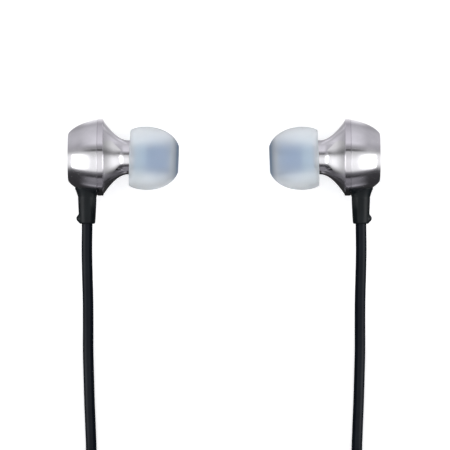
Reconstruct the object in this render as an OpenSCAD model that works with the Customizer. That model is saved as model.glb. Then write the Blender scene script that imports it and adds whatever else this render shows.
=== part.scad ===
// Wired in-ear earphones: two mirrored metal buds with silicone ear tips, a Y cord, a splitter and an angled plug.
// They lie on a flat surface at z = 0. Each bud's axis runs along X, and its cord leaves along -Y.

/* [Placing] */
// Distance from the middle plane to the flat back of each bud
bud_back_x = 29.67; // [28.5:0.01:34]
// Tilt of each nozzle and ear tip towards its cord, in degrees
tip_tilt = 2; // [0:0.5:4]

/* [Housing] */
// Diameter of the trim ring, the widest part of a bud
ring_d = 14.6; // [14.2:0.1:16]
// Length of the trim ring along the axis
ring_len = 1.1; // [0.8:0.1:1.6]
// Depth of the shadow groove in front of and behind the trim ring
groove = 0.08; // [0.04:0.02:0.2]
// Height by which the trim ring stands proud of the rear shell's rim
ring_proud = 0.08; // [0.04:0.02:0.2]
// Length of the rear shell, back face to rim
rear_len = 5.6; // [5.5:0.02:6.6]
// Diameter of the back face where its edge starts to round
back_d = 8.5; // [7:0.1:10]
// Wall of the rear shell
rear_wall = 0.6; // [0.45:0.05:0.8]
// Diameter of the vent hole in the back face
vent_d = 0.8; // [0.4:0.1:1.4]
// Height by which the trim ring stands proud of the front shell's flange
flange_step = 0.35; // [0.1:0.05:0.6]
// Length of the front shell from its flange to its neck
horn_len = 4.65; // [4.2:0.05:5.4]
// Outer diameter of the front shell's neck
neck_d = 6.5; // [6.2:0.1:7.2]
// Length of the straight neck in front of the horn
neck_len = 0.6; // [0.4:0.1:1]
// Wall of the front shell's horn
horn_wall = 0.7; // [0.5:0.05:0.9]
// Length of the front shell's spigot behind its flange
spigot_len = 1.4; // [1.3:0.05:1.5]

/* [Nozzle and ear tip] */
// Outer diameter of the nozzle tube
nozzle_d = 4.4; // [4:0.1:4.8]
// Wall of the nozzle tube
nozzle_wall = 0.55; // [0.4:0.05:0.8]
// Length of the nozzle in front of the neck
nozzle_len = 6.6; // [6:0.1:7]
// Length of the nozzle held inside the neck
nozzle_root = 1.5; // [1:0.1:1.6]
// Height of the nozzle's lands over its tube
land_h = 0.35; // [0.2:0.05:0.45]
// Length of each land
land_len = 0.7; // [0.5:0.1:1]
// Largest diameter of the ear tip
tip_d = 12.04; // [11:0.1:14]
// Diameter of the ear tip's open rear rim
tip_rim_d = 10.6; // [9.6:0.1:11]
// Length of the ear tip, rear rim to front
tip_len = 9.3; // [8.8:0.1:11]
// Distance from the neck's front face back to the point that the nozzle is tilted about
tilt_back = 2.6; // [0:0.1:3]
// Distance from the neck's front face to the ear tip's rear rim
tip_gap = -0.3; // [-0.4:0.1:0]
// Wall of the ear tip's umbrella
tip_wall = 0.5; // [0.35:0.05:0.7]
// Wall of the ear tip's sleeve
sleeve_wall = 0.6; // [0.45:0.05:0.8]
// Distance from the tip's rear rim to the rear end of its sleeve
sleeve_inset = 0.9; // [0.6:0.1:3.4]
// Diameter of the sound opening in the front of the tip
sound_d = 3.8; // [3:0.1:4.4]
// Length of the front web that joins sleeve and umbrella
web_len = 1.2; // [1:0.1:2.2]

/* [Driver] */
// Outer diameter of the driver
driver_d = 11.1; // [10.4:0.1:11.4]
// Thickness of the driver frame's web
web_t = 0.35; // [0.25:0.05:0.5]
// Wall of the driver frame's rim
rim_wall = 0.4; // [0.3:0.05:0.6]
// Outer diameter of the yoke cup
yoke_d = 7.2; // [6.8:0.1:7.6]
// Wall and base thickness of the yoke cup
yoke_wall = 0.5; // [0.4:0.05:0.7]
// Width of the magnetic gap that the voice coil moves in
air_gap = 0.33; // [0.3:0.01:0.5]
// Wall of the voice coil
coil_wall = 0.13; // [0.1:0.01:0.16]
// Thickness of the magnet
magnet_t = 1; // [0.8:0.1:1.2]
// Thickness of the pole plate
plate_t = 0.5; // [0.4:0.05:0.6]
// Diameter of the hole through yoke, magnet and pole plate
core_hole_d = 1.2; // [0.8:0.1:1.6]
// Thickness of the diaphragm
film_t = 0.12; // [0.1:0.01:0.16]
// Height of the diaphragm's dome
dome_h = 0.45; // [0.3:0.05:0.5]
// Travel of the diaphragm each way
film_travel = 0.15; // [0.1:0.01:0.18]
// Thickness of the perforated driver cover
cover_t = 0.25; // [0.2:0.05:0.4]
// Thickness of the terminal board
board_t = 0.6; // [0.4:0.1:0.8]
// Diameter of the terminal board
board_d = 5.2; // [4.6:0.1:6]
// Diameter of each signal wire
wire_d = 0.4; // [0.3:0.05:0.5]

/* [Strain relief] */
// Distance from the back face to the strain relief's centre line
boot_u = 3.67; // [3.62:0.01:3.72]
// Distance from the bud's axis to the strain relief's end
boot_reach = 12.65; // [11.5:0.05:15]
// Diameter of the strain relief at its end
boot_end_d = 3; // [3:0.1:3.8]
// Diameter of the strain relief under its flare
boot_top_d = 3.5; // [3.4:0.05:4]
// Diameter of the flare against the shell
boot_flare_d = 4.6; // [4.3:0.1:4.8]
// Distance from the bud's axis to the foot of the flare
boot_flare_y = 7.6; // [7.4:0.1:8]
// Edge rounding of the strain relief's end
boot_round = 0.35; // [0.2:0.05:0.6]
// Diameter of the side marker dot
dot_d = 1; // [0.8:0.1:1.2]
// Distance from the strain relief's end to the marker dot
dot_inset = 1; // [0.8:0.1:1.6]
// Diameter of the strain relief's neck through the shell
boot_neck_d = 2.5; // [2.4:0.05:2.6]
// Diameter of the strain relief's flange inside the shell
boot_flange_d = 3.1; // [2.9:0.1:3.2]
// Thickness of that flange
boot_flange_t = 0.5; // [0.4:0.1:0.6]
// Outer diameter of the cord clamp
clamp_d = 2.9; // [2.6:0.1:3]
// Length of the cord clamp
clamp_len = 0.9; // [0.6:0.1:0.9]

/* [Cord] */
// Cord diameter
cord_d = 2.05; // [1.9:0.05:2.1]
// Distance between turns that lie side by side, and between layers
turn_step = 2.55; // [2.5:0.01:2.7]
// Outermost centre line radius of each side cord's coil
side_coil_r = 13.2; // [12.8:0.1:13.4]
// Outermost centre line radius of the main cord's coil
main_coil_r = 14.3; // [13.9:0.1:14.4]
// Width of the straps that hold the coils
strap_w = 4; // [3:0.5:5]
// Thickness of a strap
strap_t = 0.5; // [0.3:0.1:0.6]

/* [Splitter] */
// Length of the splitter
split_len = 12.5; // [11:0.5:13]
// Width of the splitter
split_w = 6.4; // [6:0.2:7]
// Height of the splitter
split_h = 4.4; // [4:0.1:5]
// Corner radius of the splitter
split_round = 1.6; // [1:0.1:1.8]
// Distance between the two side cords in the splitter
split_pitch = 2.7; // [2.5:0.1:3]
// Depth to which each cord enters the splitter
split_depth = 3; // [2.5:0.5:4]
// Diameter of the splitter's locating pegs
peg_d = 0.8; // [0.6:0.1:1]

/* [Plug] */
// Contact diameter of the plug
plug_d = 3.5; // [3.5:0.1:3.5]
// Length of the plug's contacts
plug_len = 14; // [14:0.5:15]
// Length of the tip contact
plug_tip_len = 3.5; // [3.2:0.1:4]
// Length of the ring contact
plug_ring_len = 1.9; // [1.6:0.1:2.2]
// Width of each visible insulator
insulator_w = 0.6; // [0.4:0.1:0.8]
// Diameter of the plug's moulded body
grip_d = 7.6; // [7:0.1:8.4]
// Length of the plug's moulded body
grip_len = 8.5; // [8:0.5:10]
// Edge rounding of the plug's body
grip_round = 0.8; // [0.4:0.1:1.2]
// Diameter of the plug's side outlet
outlet_d = 5; // [4.6:0.1:5.4]
// Distance from the plug's axis to the end of the side outlet
outlet_reach = 5.5; // [5:0.1:6]
// Diameter of the plug's strain relief at its free end
plug_boot_d = 3.4; // [3.2:0.1:3.8]
// Length of the plug's strain relief beyond the side outlet
plug_boot_len = 5; // [4:0.5:5]

/* [Fits] */
// Radial clearance of a part pressed or bonded into another
press_gap = 0.02; // [0.01:0.01:0.04]
// Radial clearance of the ear tip on the nozzle's lands
tip_fit = 0.03; // [0.02:0.01:0.06]
// Radial clearance round a cord in its holes
cord_gap = 0.05; // [0.03:0.01:0.08]
// Clearance between coils and the straps round them
strap_gap = 0.1; // [0.05:0.05:0.2]
// Clearance that the diaphragm keeps at each end of its travel and round its edge
film_gap = 0.1; // [0.08:0.01:0.12]
// Gap between the rear end of the front shell's spigot and the driver
driver_inset = 0.05; // [0.02:0.01:0.1]

/* [Hidden] */
$fn = 64;
ARC_STEPS = 10;
COIL_RINGS = 24;   // rings in each turn of a coil
COIL_SIDES = 6;
CORD_SIDES = 8;
EPS = 0.01;

// Places along a bud's axis, from its back face
axis_z = ring_d / 2;
ring_u = rear_len + groove;
flange_u = ring_u + ring_len;
spigot_u = flange_u - spigot_len;
neck_u = flange_u + horn_len;
front_u = neck_u + neck_len;
driver_u = spigot_u + driver_inset;
plate_u = driver_u + web_t + 0.15;                                    // rim of the yoke and front of the pole plate
rest_u = plate_u + film_travel + film_gap;                            // rear face of the diaphragm at rest
seat_u = rest_u + dome_h + film_t + film_travel + film_gap;           // front rim of the driver frame
shoulder_u = seat_u + cover_t + press_gap;
gap_clear = (air_gap - coil_wall) / 2;
magnet_u = plate_u - plate_t - magnet_t;
yoke_u = magnet_u - yoke_wall;
board_u = yoke_u - board_t;
tip_u = front_u + tip_gap;
tip_front_u = tip_u + tip_len;
sleeve_u = tip_u + sleeve_inset;

rear_rim_d = ring_d - 2 * ring_proud;
flange_d = ring_d - 2 * flange_step;
spigot_d = rear_rim_d - 2 * rear_wall - 2 * press_gap;
land_d = nozzle_d + 2 * land_h;
bore_d = land_d + 2 * tip_fit;
nozzle_bore_d = nozzle_d - 2 * nozzle_wall;
hole_d = cord_d + 2 * cord_gap;
collar_gap = land_d / 2 * sin(tip_tilt) + 0.03;  // keeps the tilted collar off the neck's face

// A quadratic curve from a to c that leaves and arrives along its corner b.
function curve(a, b, c, n = ARC_STEPS) =
    [for (i = [0:n]) let (t = i / n) (1 - t) ^ 2 * a + 2 * t * (1 - t) * b + t ^ 2 * c];

// A cubic curve from a to d that leaves towards b and arrives from c.
function curve4(a, b, c, d, n = ARC_STEPS) =
    [for (i = [0:n]) let (t = i / n, s = 1 - t) s ^ 3 * a + 3 * s * s * t * b + 3 * s * t * t * c + t ^ 3 * d];

// An arc of radius r round p, from angle a to angle b.
function arc(p, r, a, b, n = 6) = [for (i = [0:n]) p + r * [cos(a + (b - a) * i / n), sin(a + (b - a) * i / n)]];

function reversed(list) = [for (i = [len(list) - 1:-1:0]) list[i]];
function unit(v) = v / norm(v);

// The points of an open outline moved d to their left.
function inset(p, d) = [
    for (i = [0:len(p) - 1])
        let (t = unit(p[min(i + 1, len(p) - 1)] - p[max(i - 1, 0)])) p[i] + d * [-t[1], t[0]]
];

// A w x h rectangle with rounded corners, centred.
function rounded_box(w, h, r) = concat(
    arc([w / 2 - r, h / 2 - r], r, 0, 90), arc([r - w / 2, h / 2 - r], r, 90, 180),
    arc([r - w / 2, r - h / 2], r, 180, 270), arc([w / 2 - r, r - h / 2], r, 270, 360));

// Outlines of the bud, as [radius, distance from the back face].
rear_curve = curve([back_d / 2 + 0.35, 0.12], [back_d / 2 + 2.15, 1.5], [rear_rim_d / 2, rear_len]);
rear_outline = concat([[0, 0], [back_d / 2, 0]], rear_curve);
horn_curve = curve([flange_d / 2, flange_u + 0.05], [neck_d / 2, flange_u + 0.54 * horn_len], [neck_d / 2, neck_u]);
tip_widest_u = tip_u + tip_len / 3;
tip_rear_curve = curve([tip_rim_d / 2, tip_u], [tip_d / 2 - 0.08, tip_u + tip_len / 10], [tip_d / 2, tip_widest_u]);
tip_front_curve = curve4([tip_d / 2, tip_widest_u], [tip_d / 2, tip_u + tip_len * 2 / 3],
    [tip_d * 0.378, tip_front_u - tip_len * 0.07], [tip_d / 5, tip_front_u], 2 * ARC_STEPS);

// Turns a shape made along Z to lie along a bud's axis.
module on_axis() { rotate([0, 90, 0]) children(); }

// Places a shape made in a bud's own frame, whose X starts at the back face, on the left or the right.
module left_bud() { translate([-bud_back_x, 0, axis_z]) children(); }
module right_bud() { mirror([1, 0, 0]) left_bud() children(); }

// Tilts a shape about a point inside the horn as the nozzle is tilted.
module tilted() {
    at = front_u - tilt_back;
    translate([at, 0, 0]) rotate([0, 0, -tip_tilt]) translate([-at, 0, 0]) children();
}

module ring(od, id, u, len) {
    translate([u, 0, 0]) on_axis() difference() {
        cylinder(d = od, h = len);
        translate([0, 0, -1]) cylinder(d = id, h = len + 2);
    }
}

module disc(d, u, len) { translate([u, 0, 0]) on_axis() cylinder(d = d, h = len); }

module turned(outline) { on_axis() rotate_extrude() polygon(outline); }

// ---- Bud ----

// Hollow rear shell with a vent, a rim that takes the spigot and a hole for the strain relief.
module rear_shell() {
    inner = [for (p = inset(rear_curve, rear_wall)) if (p[1] > rear_wall) p];
    color("#c4c2c8") difference() {
        turned(concat(rear_outline, [[0, rear_len]]));
        turned(concat([[0, rear_wall], [inner[0][0], rear_wall]], inner, [[inner[len(inner) - 1][0], rear_len + 1],
            [0, rear_len + 1]]));
        disc(spigot_d + 2 * press_gap, spigot_u - press_gap, rear_len);
        disc(vent_d, -1, rear_wall + 2);
        translate([boot_u, 0, 0]) rotate([90, 0, 0]) cylinder(d = boot_neck_d + 2 * press_gap, h = ring_d);
    }
}

// Polished ring with rounded edges that covers the joint between the shells.
module trim_ring() {
    edge = 0.3;
    r = ring_d / 2;
    bore = spigot_d / 2 + press_gap;
    front = ring_u + ring_len - press_gap;
    color("#d8d7dc") turned(concat([[bore, ring_u], [r - edge / 2, ring_u]],
        arc([r - edge, ring_u + edge], edge, -30, 0, 3), arc([r - edge, front - edge], edge, 0, 90), [[bore, front]]));
}

// Front shell: spigot, flange, concave horn and neck, hollow down to the nozzle's bore.
module front_shell() {
    inner = [for (p = inset(horn_curve, horn_wall))
        if (p[1] > shoulder_u + 0.3 && p[1] < front_u - nozzle_root - 0.1 && p[0] < driver_d / 2 - 0.2) p];
    last = inner[len(inner) - 1];
    color("#cfced4") difference() {
        turned(concat([[0, spigot_u], [spigot_d / 2, spigot_u], [spigot_d / 2, flange_u], [flange_d / 2, flange_u]],
            horn_curve, [[neck_d / 2, front_u], [0, front_u]]));
        turned(concat([[0, spigot_u - 1], [driver_d / 2 + press_gap, spigot_u - 1],
            [driver_d / 2 + press_gap, shoulder_u], [inner[0][0], shoulder_u]], inner,
            [[last[0], front_u - nozzle_root], [0, front_u - nozzle_root]]));
        tilted() disc(nozzle_d + 2 * press_gap, front_u - nozzle_root - 0.5, nozzle_root + 1);
    }
}

// Nozzle tube with a rear collar and two lands that the ear tip grips.
module nozzle() {
    u = front_u - nozzle_root + press_gap;
    end_u = front_u + nozzle_len;
    color("#bdbcc2") tilted() difference() {
        union() {
            disc(nozzle_d, u, end_u - u);
            for (at = [front_u + collar_gap, (front_u + end_u) / 2, end_u - 2 * land_len]) disc(land_d, at, land_len);
        }
        disc(nozzle_bore_d, u - 1, end_u - u + 2);
        disc(nozzle_bore_d + 0.5, end_u - 0.35, 1);
    }
}

// Woven screen disc in a counterbore at the nozzle's end.
module nozzle_screen() {
    color("#6d6f75") tilted() difference() {
        disc(nozzle_bore_d + 0.5 - 2 * press_gap, front_u + nozzle_len - 0.33, 0.28);
        for (k = [0:5], r = [0.7, 1.35]) rotate([60 * k + 30 * r, 0, 0])
            translate([0, 0, r]) disc(0.4, front_u, nozzle_len + 1);
    }
}

// Silicone ear tip: an umbrella joined to its sleeve by a web at the front.
module ear_tip() {
    outer = concat(tip_rear_curve, [for (i = [1:len(tip_front_curve) - 1]) tip_front_curve[i]]);
    web_u = tip_front_u - web_len;
    hollow = [for (p = inset(outer, tip_wall)) if (p[1] > tip_u + 0.3 && p[1] < web_u - 0.2) p];
    lip = tip_wall / 2;
    sleeve_r = bore_d / 2 + sleeve_wall;
    root = hollow[len(hollow) - 1];
    color("#c3ced8") tilted() difference() {
        turned(concat([[0, tip_u]], outer, [[0, tip_front_u]]));
        turned(concat([[sleeve_r, tip_u - 1], [tip_rim_d / 2 - lip, tip_u - 1], [tip_rim_d / 2 - lip, tip_u]],
            hollow, [[(root[0] + sleeve_r) / 2, web_u], [sleeve_r, web_u - 0.3]]));
        disc(bore_d, tip_u - 1, tip_len - web_len + 1);
        disc(2 * sleeve_r + EPS, tip_u - 1, sleeve_inset + 1);
        disc(sound_d, tip_u, tip_len + 1);
    }
}

// ---- Driver ----

// Driver frame: a vented web round the yoke and a rim round the diaphragm.
module driver_frame() {
    vent_r = (driver_d / 2 - rim_wall + yoke_d / 2) / 2;
    color("#3c3f45") difference() {
        disc(driver_d, driver_u, seat_u - driver_u - press_gap);
        disc(driver_d - 2 * rim_wall, driver_u + web_t, seat_u);
        disc(yoke_d + 2 * press_gap, driver_u - 1, seat_u);
        for (k = [0:5]) rotate([60 * k + 30, 0, 0]) translate([0, 0, vent_r]) disc(0.9, driver_u - 1, web_t + 2);
    }
}

// Steel cup that closes the magnetic circuit.
module yoke() {
    color("#8d9096") difference() {
        disc(yoke_d, yoke_u, plate_u - yoke_u);
        disc(yoke_d - 2 * yoke_wall, magnet_u, plate_u);
        disc(core_hole_d, yoke_u - 1, yoke_wall + 2);
    }
}

module magnet() { color("#b9bac0") ring(yoke_d - 2 * yoke_wall - 2 * air_gap - 0.2, core_hole_d, magnet_u, magnet_t); }

module pole_plate() {
    color("#9a9da3") ring(yoke_d - 2 * yoke_wall - 2 * air_gap, core_hole_d, plate_u - plate_t, plate_t);
}

// Voice coil, centred in the gap between pole plate and yoke and bonded to the diaphragm.
module voice_coil() {
    od = yoke_d - 2 * yoke_wall - 2 * gap_clear;
    color("#b5683a") ring(od, od - 2 * coil_wall, plate_u - plate_t - 0.3, rest_u - plate_u + plate_t + 0.3);
}

// Diaphragm: a centre dome and a half-roll surround that runs inside the frame's rim.
module diaphragm() {
    edge = driver_d / 2 - rim_wall - film_gap;
    foot = yoke_d / 2 - yoke_wall;
    mid = (edge + foot) / 2;
    top = concat(curve([0, rest_u + dome_h], [foot * 0.7, rest_u + dome_h], [foot, rest_u]),
        [for (i = [1:ARC_STEPS]) curve([foot, rest_u], [mid, rest_u + 0.7], [edge, rest_u + 0.05])[i]]);
    color("#d9c58c") turned(concat(top, reversed([for (p = top) p + [0, film_t]])));
}

// Perforated cover over the diaphragm.
module driver_cover() {
    color("#55585e") difference() {
        disc(driver_d, seat_u, cover_t - press_gap);
        disc(0.9, seat_u - 1, cover_t + 2);
        for (k = [0:5]) rotate([60 * k, 0, 0]) translate([0, 0, driver_d * 0.19]) disc(0.9, seat_u - 1, cover_t + 2);
        for (k = [0:11]) rotate([30 * k, 0, 0]) translate([0, 0, driver_d * 0.37]) disc(0.9, seat_u - 1, cover_t + 2);
    }
}

// Terminal board on the back of the yoke, with two raised solder pads.
module terminal_board() {
    color("#2f6b3d") {
        ring(board_d, core_hole_d, board_u, board_t - press_gap);
        for (s = [-1, 1]) translate([board_u, -board_d / 4, s * board_d / 5]) on_axis()
            translate([0, 0, -0.05]) cylinder(d = 1, h = 0.2);
    }
}

// Two signal wires from the cord's end to the solder pads.
module signal_wires() {
    color("#c0392b") for (s = [-1, 1])
        translate([board_u - 0.05 - press_gap - wire_d / 2, -board_d / 4 + 0.4, s * board_d / 9])
            rotate([90, 0, 0]) cylinder(d = wire_d, h = cord_start - board_d / 4 + 0.4 - press_gap, $fn = 24);
}

// Acoustic screen behind the vent.
module vent_screen() {
    color("#44474d") difference() {
        disc(vent_d + 1.2, rear_wall + press_gap, 0.2);
        for (k = [0:5]) rotate([60 * k, 0, 0]) translate([0, 0, vent_d * 0.3]) disc(0.12, 0, 2);
    }
}

// ---- Strain relief and clamp ----

// Rubber strain relief: an inner flange, a neck through the shell, a flare that follows the shell, a taper that
// ends rounded, and a marker dot on the side towards the back.
module strain_relief() {
    e = boot_end_d / 2;
    t = boot_top_d / 2;
    f = boot_flare_d / 2;
    outline = concat([[0, boot_flare_y - 2.6], [f, boot_flare_y - 2.6]],
        curve([f, boot_flare_y - 1.6], [f - 0.37, boot_flare_y - 0.7], [t, boot_flare_y], 6),
        arc([e - boot_round, boot_reach - boot_round], boot_round, 0, 90), [[0, boot_reach]]);
    inner = [for (p = inset(rear_curve, rear_wall)) [p[1], p[0]]];
    wall_y = sqrt(pow(lookup(boot_u - boot_flange_d / 2, inner), 2) - pow(boot_flange_d / 2, 2)) - press_gap;
    color("#2a2e31") translate([boot_u, 0, 0]) difference() {
        union() {
            difference() {
                rotate([90, 0, 0]) rotate_extrude() polygon(outline);
                translate([-boot_u, 0, 0]) turned(concat([for (p = rear_outline) p + [press_gap, 0]],
                    [[rear_rim_d / 2 + press_gap, rear_len + 1], [0, rear_len + 1]]));
            }
            rotate([90, 0, 0]) translate([0, 0, wall_y]) cylinder(d = boot_neck_d, h = boot_flare_y - wall_y + 0.5);
            rotate([90, 0, 0]) translate([0, 0, wall_y - boot_flange_t]) cylinder(d = boot_flange_d, h = boot_flange_t);
            translate([-e, -(boot_reach - dot_inset), 0]) sphere(d = dot_d, $fn = 32);
        }
        rotate([90, 0, 0]) cylinder(d = hole_d, h = boot_reach + 1);
    }
}

// Crimped ring that stops the cord from being pulled out.
module cord_clamp() {
    color("#a8a9ae") translate([boot_u, 0, 0]) rotate([90, 0, 0]) translate([0, 0, cord_start + 0.05]) difference() {
        cylinder(d = clamp_d, h = clamp_len);
        translate([0, 0, -1]) cylinder(d = hole_d, h = clamp_len + 2);
    }
}

// ---- Cords ----

// A tube of diameter d along points, as one closed polyhedron. It is never vertical, so its rings stand on Z.
module tube(points, d, sides) {
    last = len(points) - 1;
    rings = [
        for (i = [0:last])
            let (t = unit(points[min(i + 1, last)] - points[max(i - 1, 0)]), side = unit(cross([0, 0, 1], t)),
                up = cross(t, side))
                for (j = [0:sides - 1]) points[i] + d / 2 * (cos(360 * j / sides) * side + sin(360 * j / sides) * up)
    ];
    walls = [
        for (i = [0:last - 1], j = [0:sides - 1])
            let (a = i * sides + j, b = i * sides + (j + 1) % sides)
                each [[a, a + sides, b + sides], [a, b + sides, b]]
    ];
    caps = [for (j = [1:sides - 2]) each [[0, j, j + 1], [last * sides, last * sides + j + 1, last * sides + j]]];
    polyhedron(rings, concat(walls, caps));
}

// Centre line of a coil wound anticlockwise from above. It spirals in and out at a steady rate, one layer on the
// other, climbs in the half turn round each reversal, and its two ends run straight for one diameter.
function coil_line(centre, r, start, steps, layers, z) =
    let (per_layer = steps / COIL_RINGS / layers,
        turns = [
            for (i = [0:steps])
                let (s = i / COIL_RINGS, q = min(s / per_layer, layers - EPS / 10), k = floor(q), f = q - k,
                    a = start + 360 * s, depth = (k % 2 == 0 ? f : 1 - f) * per_layer * turn_step,
                    climb = [for (m = [1:layers - 1]) min(max(2 * (s - m * per_layer) + 0.5, 0), 1)],
                    floors = climb * [for (m = climb) 1])
                    [centre[0] + (r - depth) * cos(a), centre[1] + (r - depth) * sin(a), z + floors * turn_step]
        ],
        stop = start + 360 * steps / COIL_RINGS)
        concat([turns[0] - cord_d * [-sin(start), cos(start), 0]], turns,
            [turns[steps] + cord_d * [-sin(stop), cos(stop), 0]]);

// The least distance between the surfaces of turns of one line that lie at least three quarters of a turn apart.
function least_gap(p) = min([
    for (i = [0:len(p) - 1]) for (j = [i + COIL_RINGS * 3 / 4:1:len(p) - 1]) norm(p[i] - p[j])
]) - cord_d;

function mirrored(points) = [for (p = points) [-p[0], p[1], p[2]]];
function meets_start(line) = [line[0] - (line[1] - line[0]), line[0]];
function meets_end(line) = let (n = len(line) - 1) [line[n], line[n] + (line[n] - line[n - 1])];

coil_z = strap_t + 0.05 + cord_d / 2;        // lowest turn, on its strap
cord_start = yoke_d / 2 + 0.1;               // distance from the bud's axis to the cord's inner end
side_centre = [-14.6, -72];
side_steps = 101;
side_start = 180;
main_centre = [14.2, -104];
main_steps = 283;
main_start = 250;
side_line = coil_line(side_centre, side_coil_r, side_start, side_steps, 2, coil_z);
main_line = coil_line(main_centre, main_coil_r, main_start, main_steps, 4, coil_z);

// Centre lines of the free stretches, in millimetres.
side_route = [
    [-26, -3.7, 7.3], [-26, -8.5, 7.3], [-26.02, -13, 7.3], [-26.08, -17.5, 6.9], [-26.02, -22, 6],
    [-25.92, -27, 4.6], [-25.92, -32, 3.1], [-25.95, -37, 1.8], [-25.84, -42, 1.2], [-25.7, -47, 1.05],
    [-25.5, -52, 1.05], [-25.4, -57, 1.05], [-26, -62, 1.2],
];
left_tail_route = [[-12.9, -86.2, 3], [-9.2, -88.8, 2.1], [-7.6, -92.6, 2.1], [-7.35, -96, 2.2], [-7.35, -99, 2.2]];
right_tail_route = [
    [11, -86.9, 3.2], [6.5, -88.1, 2.4], [2, -89.2, 1.9], [-2.2, -90.8, 1.9], [-4.4, -93.6, 2.1],
    [-4.65, -96.2, 2.2], [-4.65, -99, 2.2],
];
main_route = [
    [-6, -105.5, 2.2], [-6, -108.5, 2.2], [-5.5, -111, 2], [-3.6, -112.8, 1.7], [-0.4, -113.9, 1.6], [3, -115.1, 1.6],
];
main_tail_route = [
    [-1, -108.6, 9], [-3, -111.9, 8], [-6, -114, 6.4], [-9.2, -114.9, 4.7], [-12.4, -115, 3.8], [-15.5, -115, 3.8],
    [-18, -115, 3.8],
];

split_at = [-6, -96];
plug_at = [-23.5, -115];
split_z = split_h / 2;
plug_z = grip_d / 2;

echo("least gap of a side coil to itself, mm", least_gap(side_line));
echo("least gap of the main coil to itself, mm", least_gap(main_line));

module cord(points) { color("#20262c") tube(points, cord_d, CORD_SIDES); }
module coil(line) { color("#20262c") tube(line, cord_d, COIL_SIDES); }

// One strap round all the turns of a coil at one angle.
module strap(centre, r, steps, layers, angle) {
    r_in = r - steps / COIL_RINGS / layers * turn_step;
    inner = sqrt(pow(r_in - cord_d / 2, 2) - pow(strap_w / 2, 2)) - strap_gap;
    outer = r + cord_d / 2 + strap_gap;
    low = coil_z - cord_d / 2 - 0.05;
    high = coil_z + (layers - 1) * turn_step + cord_d / 2 + 0.05;
    translate([centre[0], centre[1], (low + high) / 2]) rotate([90, 0, angle])
        translate([(inner + outer) / 2, 0, -strap_w / 2]) linear_extrude(strap_w) difference() {
            polygon(rounded_box(outer - inner + 2 * strap_t, high - low + 2 * strap_t, 0.9));
            polygon(rounded_box(outer - inner, high - low, 0.4));
        }
}

module coil_straps() {
    color("#3a3d42") {
        for (angle = [45, 315]) strap(main_centre, main_coil_r, main_steps, 4, angle);
        strap(side_centre, side_coil_r, side_steps, 2, 315);
        mirror([1, 0, 0]) strap(side_centre, side_coil_r, side_steps, 2, 315);
    }
}

// ---- Splitter ----

// Solid outline of the splitter with its three cord holes and wire chamber.
module splitter_body() {
    translate([split_at[0], split_at[1], split_z]) difference() {
        intersection() {
            rotate([90, 0, 0]) linear_extrude(split_len) polygon(rounded_box(split_w, split_h, split_round));
            translate([0, -split_len / 2, -split_h]) linear_extrude(2 * split_h)
                polygon(rounded_box(split_w, split_len, split_round));
        }
        for (s = [-1, 1]) translate([s * split_pitch / 2, EPS, 0]) rotate([90, 0, 0])
            cylinder(d = hole_d, h = split_depth + EPS + 0.1);
        translate([0, -split_len + split_depth + 0.1, 0]) rotate([90, 0, 0]) cylinder(d = hole_d, h = split_depth + 1);
        translate([0, -split_len / 2, 0])
            cube([split_pitch + 0.6, split_len - 2 * split_depth - 1, split_h - 2.4], center = true);
    }
}

module pegs(d, h) {
    for (s = [-1, 1]) translate([split_at[0] + s * (split_w / 2 - 0.75), split_at[1] - split_len / 2, split_z - 0.8])
        cylinder(d = d, h = h + 0.8, $fn = 24);
}

module splitter_lower_shell() {
    color("#24282c") union() {
        difference() {
            splitter_body();
            translate([split_at[0] - split_w, split_at[1] - 2 * split_len, split_z])
                cube([2 * split_w, 3 * split_len, split_h]);
        }
        pegs(peg_d, 0.7);
    }
}

module splitter_upper_shell() {
    color("#2b2f33") difference() {
        splitter_body();
        translate([split_at[0] - split_w, split_at[1] - 2 * split_len, split_z - split_h])
            cube([2 * split_w, 3 * split_len, split_h]);
        pegs(peg_d + 2 * press_gap, 0.8);
    }
}

// ---- Plug ----

// The plug's own frame: contacts along +Y from the grip's front face, side outlet along +X.
module at_plug() { translate([plug_at[0], plug_at[1], plug_z]) children(); }
module along_y() { rotate([-90, 0, 0]) children(); }

grip_front = grip_len / 2;
sleeve_len = plug_len - plug_tip_len - plug_ring_len - 2 * insulator_w;
sleeve_end = grip_front + sleeve_len;
ring_start = sleeve_end + insulator_w;
ring_end = ring_start + plug_ring_len;
tip_start = ring_end + insulator_w;
stem_d = 0.9;                                 // tip contact's stem
layer_t = 0.35;                               // wall of each insulating or ring tube round the stem
buried = 2.5;                                 // length of the contacts inside the grip
shank_d = plug_d + 0.8;                       // the sleeve contact's wider shank inside the grip
collar_d = plug_d + 1.6;                      // the collar on that shank, which the grip is moulded round
shoulder = 0.1;                               // height of the shank's shoulder over the grip's front face

module pipe_y(od, id, from, to) {
    along_y() translate([0, 0, from]) difference() {
        cylinder(d = od, h = to - from);
        translate([0, 0, -1]) cylinder(d = id, h = to - from + 2);
    }
}

// Tip contact: pointed head with its locking groove, on a long stem.
module plug_tip() {
    r = plug_d / 2;
    end = tip_start + plug_tip_len;
    color("#c9b27a") at_plug() along_y() rotate_extrude() polygon([
        [0, grip_front - buried], [stem_d / 2, grip_front - buried], [stem_d / 2, tip_start], [r * 0.86, tip_start],
        [r * 0.62, tip_start + plug_tip_len * 0.3], [r * 0.97, tip_start + plug_tip_len * 0.52],
        [r * 0.9, tip_start + plug_tip_len * 0.68], [r * 0.3, end - 0.15], [r * 0.15, end], [0, end]
    ]);
}

module plug_ring() {
    inner = stem_d + 2 * layer_t;
    color("#c9b27a") at_plug() union() {
        pipe_y(plug_d, inner, ring_start, ring_end);
        pipe_y(inner + 2 * layer_t, inner, grip_front - buried, ring_start + EPS);
    }
}

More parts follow.
